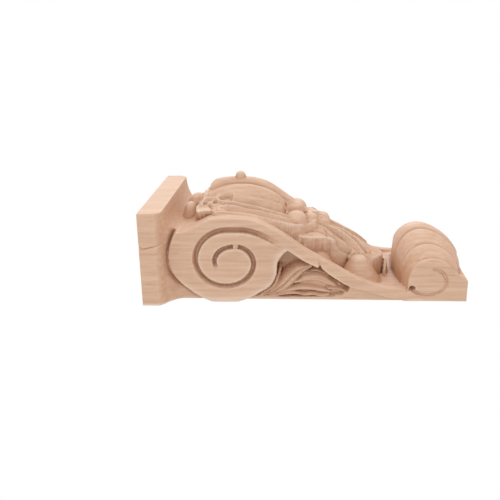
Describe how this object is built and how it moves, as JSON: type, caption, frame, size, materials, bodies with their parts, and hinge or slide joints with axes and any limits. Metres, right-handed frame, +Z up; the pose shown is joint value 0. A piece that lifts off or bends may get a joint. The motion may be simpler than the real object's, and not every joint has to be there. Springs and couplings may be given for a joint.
{
  "type": "wood corbel",
  "caption": "Carved wood corbel with a moulded top plate, S scrolls at the sides, an acanthus leaf down the front and a roll at the foot.",
  "frame": {"origin": "middle of the flat back face, where the corbel meets the wall", "axes": "+Z up along the corbel's length, +Y out of the back face into the wall, -Y to the front; the wall is the plane Y = 0"},
  "size_m": [0.115, 0.0819, 0.22],
  "materials": {
    "rubberwood": "bare, fine sanded, pale pinkish tan with darker hollows"
  },
  "bodies": {
    "root": {"corbel": "rubberwood"}
  },
  "joints": []
}
